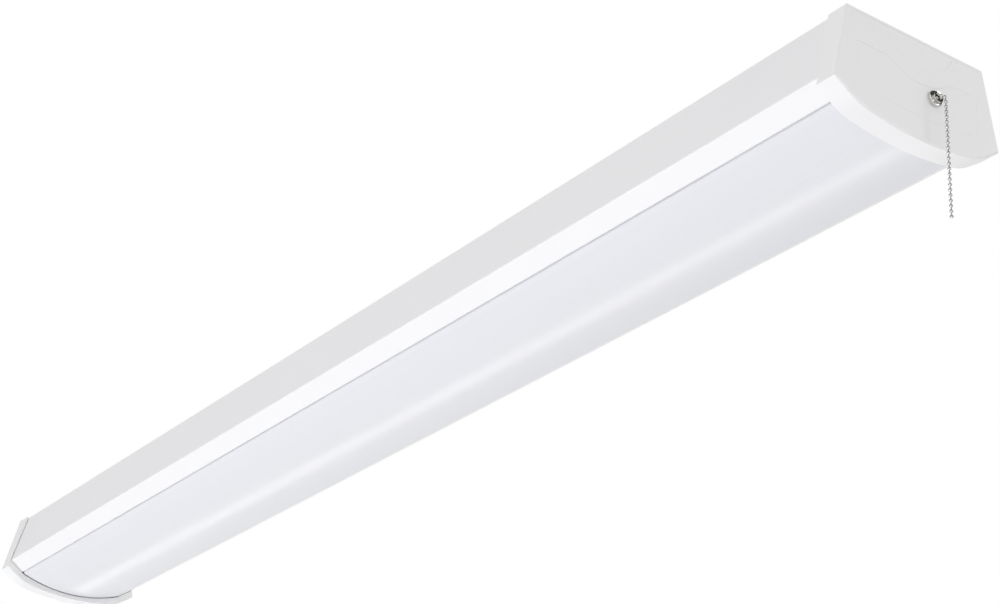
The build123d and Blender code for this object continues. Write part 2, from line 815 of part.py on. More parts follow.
# Bell mouth on the end of the bushing, which the chain runs over
bell_start = half_length + thread_reach
bell_end = half_length + bell_reach
with BuildPart() as bell_mouth:
    with BuildSketch(Plane.YZ.offset(bell_start)):
        with Locations((switch_y, axis_z)):
            Circle(bell_radius)
    extrude(amount=bell_reach - thread_reach)
    # The bore flares from the chain's passage to a narrow lip
    with BuildSketch(Plane.YZ.offset(bell_start)):
        with Locations((switch_y, axis_z)):
            Circle(chain_bore_radius)
    with BuildSketch(Plane.YZ.offset(bell_end)):
        with Locations((switch_y, axis_z)):
            Circle(bell_radius - bell_lip)
    loft(ruled=True, mode=Mode.SUBTRACT)
save(bell_mouth.part, "bell_mouth")


def chain_place(run):
    """Point on the chain's line, at a distance along it from the bell mouth."""
    quarter = chain_bend_radius * math.pi / 2
    if run < 0:
        return Vector(bell_end + run, switch_y, axis_z)
    if run < quarter:
        angle = run / chain_bend_radius
        return Vector(
            bell_end + chain_bend_radius * math.sin(angle),
            switch_y,
            axis_z - chain_bend_radius * (1 - math.cos(angle)),
        )
    return Vector(bell_end + chain_bend_radius, switch_y, axis_z - chain_bend_radius - (run - quarter))


def save_beads(name, first, count):
    """Beads as small barrels on one thin link, which reaches the bead before them."""
    place = chain_place(first_bead_lead + first * bead_pitch)
    upstream = (chain_place(first_bead_lead + (first - 1) * bead_pitch) - place).normalized()
    middle = Plane(origin=place, x_dir=Vector(0, 1, 0), z_dir=upstream)
    half = math.sqrt(bead_radius**2 - link_radius**2)
    starts = [middle.offset(-half - number * bead_pitch) for number in range(count)]
    with BuildPart() as beads:
        with BuildSketch(*starts):
            RegularPolygon(bead_radius, bead_sides)
        extrude(amount=2 * half)
        ends = [face for face in beads.faces() if abs(face.normal_at().dot(upstream)) > link_radius]
        chamfer([edge for face in ends for edge in face.edges()], bead_chamfer)
        with BuildSketch(middle.offset(-half - (count - 1) * bead_pitch)):
            RegularPolygon(link_radius, link_sides)
        extrude(amount=count * bead_pitch - bead_radius - link_gap + half)
    save(beads.part, name)
    print(name, [round(value, 3) for value in place])


# Ball chain: beads inside the bushing, two on the bend, two that swivel, and the hanging run
save_beads("chain_inner", -inner_beads, inner_beads)
save_beads("chain_bead_mouth", 0, 1)
save_beads("chain_bead_bend", 1, 1)
save_beads("chain_bead_top", 2, 1)
save_beads("chain_bead_swivel", 3, 1)
save_beads("pull_chain", 4, hanging_beads)
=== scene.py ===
import json
import math

import bpy
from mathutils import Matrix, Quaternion, Vector


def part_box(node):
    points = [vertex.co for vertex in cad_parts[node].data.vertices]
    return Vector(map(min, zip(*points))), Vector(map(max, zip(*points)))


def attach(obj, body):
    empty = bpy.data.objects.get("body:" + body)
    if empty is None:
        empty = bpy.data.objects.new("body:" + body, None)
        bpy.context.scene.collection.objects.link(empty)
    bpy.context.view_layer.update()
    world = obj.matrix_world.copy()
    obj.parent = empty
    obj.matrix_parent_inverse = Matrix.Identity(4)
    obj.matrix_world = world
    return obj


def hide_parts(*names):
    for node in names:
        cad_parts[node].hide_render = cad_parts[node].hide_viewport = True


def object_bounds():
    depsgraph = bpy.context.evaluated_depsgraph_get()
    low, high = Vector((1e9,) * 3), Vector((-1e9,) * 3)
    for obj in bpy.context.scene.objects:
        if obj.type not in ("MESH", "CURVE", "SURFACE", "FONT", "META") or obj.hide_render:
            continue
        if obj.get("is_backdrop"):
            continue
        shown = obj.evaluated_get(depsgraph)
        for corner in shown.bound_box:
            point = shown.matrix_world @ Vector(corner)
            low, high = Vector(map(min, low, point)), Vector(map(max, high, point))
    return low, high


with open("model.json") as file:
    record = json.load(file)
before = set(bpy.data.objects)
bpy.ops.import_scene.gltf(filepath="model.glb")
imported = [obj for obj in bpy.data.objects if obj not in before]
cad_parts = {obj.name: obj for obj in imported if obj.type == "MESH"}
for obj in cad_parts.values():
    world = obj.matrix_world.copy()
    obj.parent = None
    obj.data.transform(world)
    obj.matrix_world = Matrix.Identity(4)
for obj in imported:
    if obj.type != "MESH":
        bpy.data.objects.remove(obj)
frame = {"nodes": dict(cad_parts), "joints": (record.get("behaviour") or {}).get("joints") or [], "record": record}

cad_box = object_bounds()

# %% [markdown]
# The frame holds every part of the light at its real size and place, in metres.
# The ceiling is the plane z = 0, the light hangs below it, and the end with the
# pull chain points along +X.

# %% [markdown]
# A camera is a place, a direction and a lens. The picture was taken from below and in
# front of the end that has the chain. That end is little more than half as far away as
# the other, so it looks much larger. The heading and the rise give the direction, and
# the roll then turns the picture about it.

# %% camera
camera_place = Vector((1.3707, -0.8174, -0.7416))
camera_heading = math.radians(145.84)
camera_rise = math.radians(26.44)
camera_roll = math.radians(3.275)
focal_pixels = 2098.8
image_width = 1000
sensor_width = 36

direction = Vector(
    (
        math.cos(camera_rise) * math.cos(camera_heading),
        math.cos(camera_rise) * math.sin(camera_heading),
        math.sin(camera_rise),
    )
)
camera_data = bpy.data.cameras.new("camera")
camera_data.sensor_width = sensor_width
camera_data.lens = focal_pixels / image_width * sensor_width
camera = bpy.data.objects.new("camera", camera_data)
bpy.context.scene.collection.objects.link(camera)
camera.location = camera_place
camera.rotation_mode = "QUATERNION"
roll = Quaternion((0, 0, 1), camera_roll)
camera.rotation_quaternion = direction.to_track_quat("-Z", "Y") @ roll
bpy.context.scene.camera = camera
print("lens", round(camera_data.lens, 1), "mm")

# %% [markdown]
# A shader is a tree of nodes. Written out node by node it is long and hard to read,
# so a socket is wrapped in a small class: a sum or a product of two values then adds
# the Math node that works it out, and the tree reads like the formula it stands for.

# %% values in a shader
def feed(tree, socket, source):
    """Give a socket a value's link, or a constant."""
    if isinstance(source, Value):
        tree.links.new(source.socket, socket)
    else:
        socket.default_value = source


class Value:
    """What one socket of a shader puts out."""

    def __init__(self, tree, socket):
        self.tree = tree
        self.socket = socket

    def worked_out(self, operation, *operands):
        node = self.tree.nodes.new("ShaderNodeMath")
        node.operation = operation
        for socket, operand in zip(node.inputs, operands):
            feed(self.tree, socket, operand)
        return Value(self.tree, node.outputs[0])

    def __add__(self, other):
        return self.worked_out("ADD", self, other)

    def __sub__(self, other):
        return self.worked_out("SUBTRACT", self, other)

    def __rsub__(self, other):
        return self.worked_out("SUBTRACT", other, self)

    def __mul__(self, other):
        return self.worked_out("MULTIPLY", self, other)

    def __lt__(self, other):
        return self.worked_out("LESS_THAN", self, other)

    def __gt__(self, other):
        return self.worked_out("GREATER_THAN", self, other)

    def __abs__(self):
        return self.worked_out("ABSOLUTE", self)

    def sine(self):
        return self.worked_out("SINE", self)

    __radd__ = __add__
    __rmul__ = __mul__


# %% [markdown]
# A finish is one material. Its constant numbers go straight onto the shader's own
# sockets, and what varies over the surface comes in through links. Every pattern is
# placed by the object's own coordinates, so it stays on the piece from any side. One
# method adds any kind of node, and the others are the few steps that finishes share.

# %% a finish
mix_low, mix_high, mixed = 6, 7, 2  # the colour sockets of a Mix node, by number


class Finish:
    def __init__(self, name, **constants):
        self.material = bpy.data.materials.new(name)
        self.material.use_nodes = True
        self.tree = self.material.node_tree
        self.shader = self.tree.nodes["Principled BSDF"]
        for socket, value in constants.items():
            self.shader.inputs[socket.replace("_", " ")].default_value = value
        self.place = self.add("ShaderNodeTexCoord", {}, {}, "Object")

    def add(self, kind, settings, sockets, output=0):
        """Add a node: settings first, then what its sockets get, and give one output."""
        node = self.tree.nodes.new(kind)
        for name, value in settings.items():
            setattr(node, name, value)
        for name, value in sockets.items():
            feed(self.tree, node.inputs[name], value)
        return Value(self.tree, node.outputs[output])

    def along(self, axis):
        return self.add("ShaderNodeSeparateXYZ", {}, {"Vector": self.place}, axis)

    def stretched(self, x, y, z):
        sockets = {0: self.place, 1: (x, y, z)}
        return self.add("ShaderNodeVectorMath", {"operation": "MULTIPLY"}, sockets)

    def noise(self, scale, detail=3.0, place=None):
        sockets = {"Vector": place or self.place, "Scale": scale, "Detail": detail}
        return self.add("ShaderNodeTexNoise", {}, sockets)

    def mix(self, factor, low, high):
        sockets = {"Factor": factor, mix_low: low, mix_high: high}
        return self.add("ShaderNodeMix", {"data_type": "RGBA"}, sockets, mixed)

    def show(self, socket, value):
        self.tree.links.new(value.socket, self.shader.inputs[socket])

    def shade(self, factor, colour, low, high=1.0):
        """Base colour between a low and a high share of one colour."""
        self.show("Base Color", self.mix(factor, tone(colour, low), tone(colour, high)))

    def raise_by(self, height, distance, strength):
        sockets = {"Height": height, "Distance": distance, "Strength": strength}
        self.show("Normal", self.add("ShaderNodeBump", {}, sockets))


def tone(colour, share=1.0):
    return (*[channel * share for channel in colour], 1.0)


def about(middle, *drifts):
    """A middle value that each noise moves by up to half its span, either way."""
    total = middle - sum(span for noise, span in drifts) / 2
    for noise, span in drifts:
        total = noise * span + total
    return total


print("half of white:", tone((1, 1, 1), 0.5))

# %% [markdown]
# Powder coat is sprayed as dust and baked, so it flows into a skin with a faint
# orange peel about two millimetres across, and a finer grain on top of that. Both are
# noise that raises the surface, and a wide noise lets shade and gloss drift a little.

# %% powder coat on the sheet steel
def powder_coat(name, colour, rough):
    finish = Finish(name)
    wide = finish.noise(9.0)
    peel = finish.noise(420.0, detail=1.0)
    grain = finish.noise(2600.0, detail=2.0)
    finish.shade(wide, colour, 0.985, 1.01)
    finish.show("Roughness", about(rough, (wide, 0.06), (grain, 0.05)))
    finish.raise_by(peel * 0.8 + grain * 0.2, distance=0.00002, strength=0.5)
    return finish.material


finishes = {
    "white_enamel": powder_coat("white_enamel", (0.86, 0.86, 0.865), 0.42),
    "tray_enamel": powder_coat("tray_enamel", (0.88, 0.88, 0.87), 0.5),
}
print("coats:", len(finishes))

# %% [markdown]
# Moulded plastic takes the texture of its steel mould, a fine even matt that spark
# erosion leaves. The melt also leaves faint flow shading, longest along the light.
# The colours inside are the usual ones: orange push-in connectors, black bushing,
# brown switch, and a colour for each lead.

# %% moulded plastics
def moulded(name, colour, rough, texture=1500.0, flow=0.02):
    finish = Finish(name)
    streaks = finish.noise(16.0, detail=4.0, place=finish.stretched(0.5, 1.0, 1.6))
    matt = finish.noise(texture, detail=2.0)
    finish.shade(streaks, colour, 1 - flow)
    finish.show("Roughness", about(rough, (matt, 0.1), (streaks, 0.05)))
    finish.raise_by(matt, distance=0.00002, strength=0.35)
    return finish.material


finishes["white_cap"] = moulded("white_cap", (0.87, 0.87, 0.87), 0.4)
finishes["joint_plastic"] = moulded("joint_plastic", (0.80, 0.80, 0.77), 0.45)
finishes["splice_plastic"] = moulded("splice_plastic", (0.74, 0.36, 0.07), 0.22, 900.0, 0.08)
finishes["nylon"] = moulded("nylon", (0.80, 0.78, 0.72), 0.42, 900.0, 0.05)
finishes["black_nylon"] = moulded("black_nylon", (0.025, 0.025, 0.026), 0.4, 900.0, 0.2)
finishes["phenolic"] = moulded("phenolic", (0.05, 0.035, 0.025), 0.33, 700.0, 0.3)
lead_colours = {
    "lead_black": (0.02, 0.02, 0.02),
    "lead_red": (0.45, 0.02, 0.02),
    "lead_white": (0.78, 0.78, 0.76),
    "lead_green": (0.03, 0.28, 0.07),
    "lead_blue": (0.03, 0.09, 0.40),
}
for name, colour in lead_colours.items():
    finishes[name] = moulded(name, colour, 0.38, 700.0, 0.12)
print("with plastics:", len(finishes))

# %% [markdown]
# The diffuser is an extruded sheet of frosted acrylic. The die leaves fine lines that
# run its whole length, so the ribs depend on the place across the sheet alone, and the
# faint tints on little else. A frosted skin scatters light, with a soft gloss over it.

# %% frosted diffuser
rib_spacing = 0.0016


def frosted(name, colour):
    finish = Finish(name, Coat_Roughness=0.2, IOR=1.45)
    tints = finish.noise(3.0, detail=5.0, place=finish.stretched(0.3, 90.0, 0.3))
    ribs = (finish.along("Y") * (2 * math.pi / rib_spacing)).sine()
    frost = finish.noise(1800.0, detail=2.0)
    finish.shade(tints, colour, 0.965, 1.02)
    finish.show("Roughness", about(0.51, (tints, 0.12), (frost, 0.06)))
    finish.show("Coat Weight", about(0.425, (tints, 0.15)))
    finish.raise_by(ribs * 0.5 + frost * 0.15, distance=0.00001, strength=0.4)
    return finish.material


finishes["diffuser"] = frosted("diffuser", (0.78, 0.785, 0.812))
print("ribs", rib_spacing * 1000, "mm apart")

# %% [markdown]
# Plated steel isn't one even mirror. Zinc shows a fine crystalline bloom, so its
# roughness follows small cells, while on bright nickel they hardly show. Rolled steel
# has a grain along the strip, a noise stretched in that direction.

# %% plated and rolled metals
def plated(name, colour, rough, bloom, spread):
    finish = Finish(name, Metallic=1.0)
    bloom_sockets = {"Vector": finish.place, "Scale": bloom}
    cells = finish.add("ShaderNodeTexVoronoi", {}, bloom_sockets, "Color")
    speck = finish.add("ShaderNodeSeparateColor", {}, {"Color": cells})
    haze = finish.noise(180.0)
    finish.shade(haze, colour, 0.9)
    finish.show("Roughness", about(rough, (speck, spread), (haze, spread)))
    finish.raise_by(haze, distance=0.00001, strength=0.3)
    return finish.material


def rolled(name, colour, rough, stretch):
    finish = Finish(name, Metallic=1.0)
    grain = finish.noise(900.0, detail=4.0, place=finish.stretched(*stretch))
    haze = finish.noise(40.0)
    finish.shade(haze, colour, 0.92)
    finish.show("Roughness", about(rough, (grain, 0.18), (haze, 0.06)))
    finish.raise_by(grain, distance=0.000008, strength=0.4)
    return finish.material


finishes["zinc_plate"] = plated("zinc_plate", (0.62, 0.64, 0.68), 0.36, 1400.0, 0.1)
finishes["earth_green"] = plated("earth_green", (0.05, 0.34, 0.12), 0.38, 1200.0, 0.08)
finishes["tinned_copper"] = plated("tinned_copper", (0.72, 0.70, 0.66), 0.34, 1200.0, 0.08)
finishes["nickel_plate"] = plated("nickel_plate", (0.74, 0.73, 0.71), 0.1, 600.0, 0.03)
finishes["chain_nickel"] = plated("chain_nickel", (0.70, 0.69, 0.67), 0.12, 900.0, 0.04)
finishes["spring_steel"] = rolled("spring_steel", (0.56, 0.56, 0.57), 0.3, (1.0, 0.05, 0.05))
finishes["driver_metal"] = rolled("driver_metal", (0.70, 0.71, 0.73), 0.42, (0.04, 1.0, 1.0))
print("with metals:", len(finishes))

# %% [markdown]
# A light strip is a thin board under white solder mask. The copper tracks beneath it
# stand up a little, as two rails that run the whole length on either side of the
# chips. A rail is where the distance from the row's middle falls between two values.
# A chip's well is filled with a grainy yellow phosphor under a clear skin.

# %% boards and chips
row_offset = 0.019
rail_middle = 0.0047
rail_half = 0.0017


def solder_mask(name, colour):
    finish = Finish(name)
    from_row = abs(abs(finish.along("Y")) - row_offset)
    rail = abs(from_row - rail_middle) < rail_half
    mask = finish.noise(1200.0, detail=2.0)
    finish.shade(rail, colour, 0.95)
    finish.show("Roughness", about(0.35, (mask, 0.08), (rail, 0.06)))
    finish.raise_by(rail + mask * 0.05, distance=0.00004, strength=0.6)
    return finish.material


def phosphor(name, colour):
    finish = Finish(name, Coat_Roughness=0.12)
    grains = finish.noise(5200.0, detail=2.0)
    finish.shade(grains, colour, 0.82)
    finish.show("Roughness", about(0.45, (grains, 0.2)))
    finish.show("Coat Weight", about(0.65, (grains, 0.1)))
    return finish.material


finishes["board_solder_mask"] = solder_mask("board_solder_mask", (0.84, 0.85, 0.85))
finishes["chip_phosphor"] = phosphor("chip_phosphor", (0.86, 0.66, 0.12))
chip_frame_finish = moulded("chip_frame", (0.82, 0.82, 0.80), 0.35, 2400.0)
print("finishes:", len(finishes))

# %% [markdown]
# The record names a slot for each part, and each slot is one of the finishes above. It
# also names the body that a part moves with, which a new piece will need.

# %% every part gets its finish
slots = {row["node"]: row["material_slot"] for row in frame["record"]["subparts"]}
bodies = {
    node: body
    for body, members in frame["record"]["behaviour"]["bodies"].items()
    for node in members
}
for node, part in frame["nodes"].items():
    part.data.materials.clear()
    part.data.materials.append(finishes[slots[node]])
print("finished parts:", len(slots))

# %% [markdown]
# Operators act on what is selected, so each step first selects one piece alone. In
# edit mode the faces and edges to work on are chosen by their place or direction.

# %% selecting
def none_selected():
    if bpy.context.mode != "OBJECT":
        bpy.ops.object.mode_set(mode="OBJECT")
    bpy.ops.object.select_all(action="DESELECT")


def alone(*pieces):
    none_selected()
    for piece in pieces:
        piece.select_set(True)
    bpy.context.view_layer.objects.active = pieces[0]


def choose(piece, kind, test):
    """Select the piece's edges or faces that pass the test, and go to edit mode."""
    alone(piece)
    bpy.ops.object.mode_set(mode="EDIT")
    bpy.context.tool_settings.mesh_select_mode = (False, kind == "EDGE", kind == "FACE")
    bpy.ops.mesh.select_all(action="DESELECT")
    bpy.ops.object.mode_set(mode="OBJECT")
    items = {"EDGE": piece.data.edges, "FACE": piece.data.polygons}[kind]
    chosen = [item for item in items if test(item)]
    for item in chosen:
        item.select = True
    bpy.ops.object.mode_set(mode="EDIT")
    return len(chosen)


# %% [markdown]
# A finished piece has its place, turn and size in its mesh, and sits at the origin. It
# takes the body, the slot and the finish of the part it stands for, which is hidden.

# %% finishing a piece
def set_in_place():
    bpy.ops.object.transform_apply(location=True, rotation=True, scale=True)


def stands_for(piece, node):
    alone(piece)
    set_in_place()
    if not piece.data.materials:
        piece.data.materials.append(finishes[slots[node]])
    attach(piece, bodies[node])
    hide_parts(node)
    return piece


def smooth(piece, degrees):
    """Shade smooth across edges up to this angle, with the large faces kept flat."""
    alone(piece)
    bpy.ops.object.shade_smooth_by_angle(angle=math.radians(degrees))
    even = piece.modifiers.new("even", "WEIGHTED_NORMAL")
    even.keep_sharp = True
    bpy.ops.object.modifier_apply(modifier=even.name)


# %% [markdown]
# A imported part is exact, but its edges are perfectly sharp and its curves are flat
# facets, and nothing real looks like that. A softened copy is merged, its flat faces
# are joined again, and its sharp edges get a small round that catches the light.
# Shading is then smoothed across the rounds, with the large faces kept flat. Folded
# sheet gets a fine round, and screws, nuts and most moulded pieces a wider one. The
# caps get very little, because a round can't be wider than the steps of their relief.

# %% softened copies
merge_distance = 0.000002
flat_angle = math.radians(0.5)
sharp_angle = math.radians(30)
round_steps = 2
facet_degrees = 40
lead_facet_degrees = 70


def softened(node, edge, degrees=facet_degrees):
    mesh = frame["nodes"][node].data.copy()
    piece = bpy.data.objects.new(node + "_soft", mesh)
    bpy.context.scene.collection.objects.link(piece)
    alone(piece)
    bpy.ops.mesh.customdata_custom_splitnormals_clear()
    bpy.ops.object.mode_set(mode="EDIT")
    bpy.ops.mesh.select_all(action="SELECT")
    bpy.ops.mesh.remove_doubles(threshold=merge_distance)
    bpy.ops.mesh.dissolve_limited(angle_limit=flat_angle)
    bpy.ops.object.mode_set(mode="OBJECT")
    if edge:
        rounding = piece.modifiers.new("rounding", "BEVEL")
        rounding.width = edge
        rounding.segments = round_steps
        rounding.limit_method = "ANGLE"
        rounding.angle_limit = sharp_angle
        bpy.ops.object.modifier_apply(modifier=rounding.name)
    smooth(piece, degrees)
    return stands_for(piece, node)


edges = {
    "housing": 0.00018,
    "end_cap_pull": 0.0001,
    "end_cap_far": 0.0001,
    "lens_clips": 0.00012,
    "led_tray": 0.00015,
    "tray_bracket_1": 0.0002,
    "tray_bracket_2": 0.0002,
    "tray_bracket_3": 0.0002,
    "tray_screws": 0.00025,
    "board_joints": 0.0003,
    "driver_case": 0.0003,
    "driver_studs": 0.0003,
    "driver_nuts": 0.00025,
    "splice_live": 0.0003,
    "splice_neutral": 0.0003,
    "splice_ground": 0.0003,
    "ground_screw": 0.00025,
    "ground_terminal": 0.0002,
    "lead_clamps": 0.0002,
    "supply_bushing": 0.0004,
    "switch_body": 0.0004,
    "switch_plate": 0.0002,
    "switch_bushing": 0.0002,
    "lock_nut": 0.0003,
}
soft = {node: softened(node, edge) for node, edge in edges.items()}
print("softened parts:", len(soft))

# %% [markdown]
# The relief on the outer face of each end cap hardly shows on the real moulding, since
# its steps are blurred by the texture of the mould. The sunk faces are brought nearer
# to the face round them, which leaves the outlines as faint as they are there. Stored
# normals still point as before the move, so they are cleared and smoothed again.

# %% faint relief
relief_depth = 0.00025
blurred_depth = 0.00009
square_on = 0.99
for node, side in (("end_cap_pull", 1), ("end_cap_far", -1)):
    cap = soft[node]
    face_x = max(side * corner.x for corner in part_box(node))
    sunk_x = face_x - relief_depth
    sunk = choose(
        cap,
        "FACE",
        lambda face: side * face.normal.x > square_on
        and abs(side * face.center.x - sunk_x) < relief_depth / 3,
    )
    bpy.ops.transform.translate(value=(side * (relief_depth - blurred_depth), 0, 0))
    bpy.ops.object.mode_set(mode="OBJECT")
    bpy.ops.mesh.customdata_custom_splitnormals_clear()
    smooth(cap, facet_degrees)
    print(node, "sunk faces:", sunk)

# %% [markdown]
# The leads need no round on their edges. A lead is six-sided in the frame, so its copy
# is shaded smooth all round, with its two cut ends kept sharp. The boards of the light
# strips are thin, and get only a very fine round.

# %% leads and boards
leads = [node for node in frame["nodes"] if slots[node] in lead_colours]
for node in leads:
    softened(node, 0, lead_facet_degrees)
strip_numbers = (1, 2, 3, 4)
board_edge = 0.0001
for number in strip_numbers:
    softened(f"led_board_{number}", board_edge)
print("leads:", len(leads), "boards:", len(strip_numbers))

# %% [markdown]
# The lens is one extrusion: a shallow arch with a leg along each edge. Its arch is cut
# from a circle of many sides, because from below its outline is a long smooth curve.
# The arch is extruded to its length, the legs are pulled up from its two long edges,
# and Solidify gives the sheet its wall on the inside.

# %% lens sheet
lens_low, lens_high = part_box("lens")
lens_length = lens_high.x - lens_low.x
lens_half_width = lens_high.y
lens_edge_z = -0.0599
lens_sag = lens_edge_z - lens_low.z
arch_radius = (lens_half_width**2 + lens_sag**2) / (2 * lens_sag)
arch_centre = (lens_low.x, 0, lens_low.z + arch_radius)
arch_sides = 540
lens_wall = 0.0015
facing_x = (0, math.radians(90), 0)
edge_margin = 0.00001

none_selected()
bpy.ops.mesh.primitive_circle_add(
    vertices=arch_sides, radius=arch_radius, location=arch_centre, rotation=facing_x
)
lens = bpy.context.object
lens.name = "lens_sheet"
set_in_place()
bpy.ops.object.mode_set(mode="EDIT")
bpy.ops.mesh.select_all(action="SELECT")
bpy.ops.mesh.bisect(plane_co=(0, 0, lens_edge_z), plane_no=(0, 0, 1), clear_outer=True)
bpy.ops.mesh.select_all(action="SELECT")
bpy.ops.mesh.extrude_edges_move(TRANSFORM_OT_translate={"value": (lens_length, 0, 0)})


def at_lens_edge(edge):
    corners = [lens.data.vertices[number] for number in edge.vertices]
    return all(corner.co.z > lens_edge_z - edge_margin for corner in corners)


long_edges = choose(lens, "EDGE", at_lens_edge)
leg_height = lens_high.z - lens_edge_z
bpy.ops.mesh.extrude_edges_move(TRANSFORM_OT_translate={"value": (0, 0, leg_height)})
bpy.ops.mesh.select_all(action="SELECT")
bpy.ops.mesh.normals_make_consistent(inside=False)
bpy.ops.object.mode_set(mode="OBJECT")
print("long edges:", long_edges, "faces of the sheet:", len(lens.data.polygons))

# %% lens wall
wall = lens.modifiers.new("wall", "SOLIDIFY")
wall.thickness = lens_wall
wall.offset = -1
wall.use_even_offset = True
alone(lens)
bpy.ops.object.modifier_apply(modifier=wall.name)
smooth(lens, degrees=30)
stands_for(lens, "lens")
print("lens", round(lens_length, 4), "m long, faces:", len(lens.data.polygons))

# %% [markdown]
# Turned pieces are round about one axis, as they come from a lathe. Such a piece is
# drawn as a row of rings: a circle is added, and each next ring is an extrusion of the
# last, moved along the axis and scaled to its radius. For a piece with a bore, the row
# comes back to its first ring and is merged there. Otherwise both ends are closed.

# %% turning
def turned(name, centre, rings, sides, bored):
    """Rings at (place along X, radius) about an axis through centre, joined into a solid."""
    none_selected()
    place, radius = rings[0]
    bpy.ops.mesh.primitive_circle_add(
        vertices=sides,
        radius=radius,
        location=(centre.x + place, centre.y, centre.z),
        rotation=facing_x,
    )
    piece = bpy.context.object
    piece.name = name
    set_in_place()
    bpy.ops.object.mode_set(mode="EDIT")
    bpy.ops.mesh.select_all(action="SELECT")
    if not bored:
        bpy.ops.mesh.edge_face_add()
    last_ring = rings[:1] if bored else []
    for next_place, next_radius in rings[1:] + last_ring:
        bpy.ops.mesh.extrude_region_move(
            TRANSFORM_OT_translate={"value": (next_place - place, 0, 0)}
        )
        share = next_radius / radius
        bpy.ops.transform.resize(
            value=(1, share, share), center_override=(centre.x + next_place, centre.y, centre.z)
        )
        place, radius = next_place, next_radius
    bpy.ops.mesh.select_all(action="SELECT")
    if bored:
        bpy.ops.mesh.remove_doubles(threshold=merge_distance / 2)
        bpy.ops.mesh.select_all(action="SELECT")
    bpy.ops.mesh.normals_make_consistent(inside=False)
    bpy.ops.object.mode_set(mode="OBJECT")
    return piece


# %% [markdown]
# The round nut and the bell mouth carry the brightest reflections of the light, so
# their edges are turned with real rounds. The nut is a plain ring with a chamfer at its
# front and fine rounds at its other edges.

# %% round nut
nut_low, nut_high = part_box("ring_nut")
switch_axis = Vector((0, (nut_low.y + nut_high.y) / 2, (nut_low.z + nut_high.z) / 2))
nut_radius = (nut_high.z - nut_low.z) / 2
bore_radius = 0.00405
nut_chamfer = 0.0004
fine_round = 0.00012
turned_sides = 96
nut_rings = [
    (nut_low.x, bore_radius),
    (nut_low.x, nut_radius - fine_round),
    (nut_low.x + fine_round, nut_radius),
    (nut_high.x - nut_chamfer - fine_round, nut_radius),
    (nut_high.x - nut_chamfer, nut_radius - fine_round / 2),
    (nut_high.x - fine_round / 2, nut_radius - nut_chamfer),
    (nut_high.x, nut_radius - nut_chamfer - fine_round),
    (nut_high.x, bore_radius + fine_round),
    (nut_high.x - fine_round, bore_radius),
]
nut = turned("round_nut", switch_axis, nut_rings, turned_sides, bored=True)
smooth(nut, degrees=32)
stands_for(nut, "ring_nut")
print("nut radius", round(nut_radius * 1000, 2), "mm")

# %% [markdown]
# The bell opens in a curve, because the chain runs over its lip and must not catch
# there. Its passage widens in a quarter of an ellipse, and the lip outside it is round.

# %% bell mouth
bell_low, bell_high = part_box("bell_mouth")
bell_radius = (bell_high.z - bell_low.z) / 2
bell_depth = bell_high.x - bell_low.x
back_step = 0.0004
back_chamfer = 0.0002
passage = 0.0019
flare = 0.0015
flare_rings = 8
lip = 0.00025
bell_rings = [
    (bell_low.x, passage),
    (bell_low.x, bell_radius - back_step - back_chamfer),
    (bell_low.x + back_step, bell_radius - back_step),
    (bell_high.x - 2.2 * lip, bell_radius - lip / 2),
    (bell_high.x - 1.4 * lip, bell_radius),
    (bell_high.x - 0.5 * lip, bell_radius),
    (bell_high.x - 0.1 * lip, bell_radius - 0.5 * lip),
    (bell_high.x, bell_radius - lip),
]
for number in range(flare_rings):
    turn = math.pi / 2 * number / (flare_rings - 1)
    flare_place = bell_high.x - lip / 2 - (bell_depth - lip) * (1 - math.cos(turn))
    bell_rings.append((flare_place, passage + flare * (1 - math.sin(turn))))
bell = turned("bell", switch_axis, bell_rings, turned_sides, bored=True)
smooth(bell, degrees=40)
stands_for(bell, "bell_mouth")
print("bell radius", round(bell_radius * 1000, 2), "mm")

# %% [markdown]
# A ball chain is hollow beads on dumb-bell links. Each bead is a ball pressed from
# tube, with a rolled lip round each pole, and a thin pin runs out of one pole to the
# next bead. The bead is turned once, and each place on the chain gets a copy.
#
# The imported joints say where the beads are. Each slide of the chain takes one bead to
# the place of the next, so going back along the slides from the bead that the chain
# hangs by gives all the places above it, and the two hinges are one bead apart.

# %% places along the chain
joints = {joint["name"]: joint for joint in frame["joints"]}


def one_place_back(place, joint_name):
    joint = joints[joint_name]
    return place - Vector(joint["axis"]) * joint["range_m"][1]


top_place = Vector(joints["chain_swing_out"]["pos_m"])
swivel_place = Vector(joints["chain_swing_side"]["pos_m"])
bend_place = one_place_back(top_place, "bend_bead_run")
mouth_place = one_place_back(bend_place, "mouth_bead_run")
inner_place = one_place_back(mouth_place, "chain_feed")
bead_pitch = (top_place - swivel_place).length
print("bead pitch", round(bead_pitch * 1000, 3), "mm")

# %% one bead with its pin
bead_radius = 0.0012
pin_radius = 0.00034
pole_radius = 0.00052
rim = 0.00006
ball_rings = 9
bead_sides = 16
pole_angle = math.asin(pole_radius / bead_radius)
pole_place = bead_radius * math.cos(pole_angle)
bead_rings = [(-pole_place + 3 * rim, pole_radius - 2 * rim), (-pole_place, pole_radius - rim)]
for number in range(ball_rings):
    angle = pole_angle + (math.pi - 2 * pole_angle) * number / (ball_rings - 1)
    bead_rings.append((-bead_radius * math.cos(angle), bead_radius * math.sin(angle)))
bead_rings += [
    (pole_place, pole_radius - rim),
    (pole_place - 2 * rim, pin_radius + rim),
    (pole_place, pin_radius),
    (bead_pitch - pole_place, pin_radius),
]
bead = turned("bead", Vector((0, 0, 0)), bead_rings, bead_sides, bored=False)
smooth(bead, degrees=50)
bead.data.materials.append(finishes["chain_nickel"])
print("faces of one bead:", len(bead.data.polygons))

# %% [markdown]
# What repeats is modelled once and copied, each copy with its own mesh. The copies for
# one part are turned and moved to their places and joined into one piece.

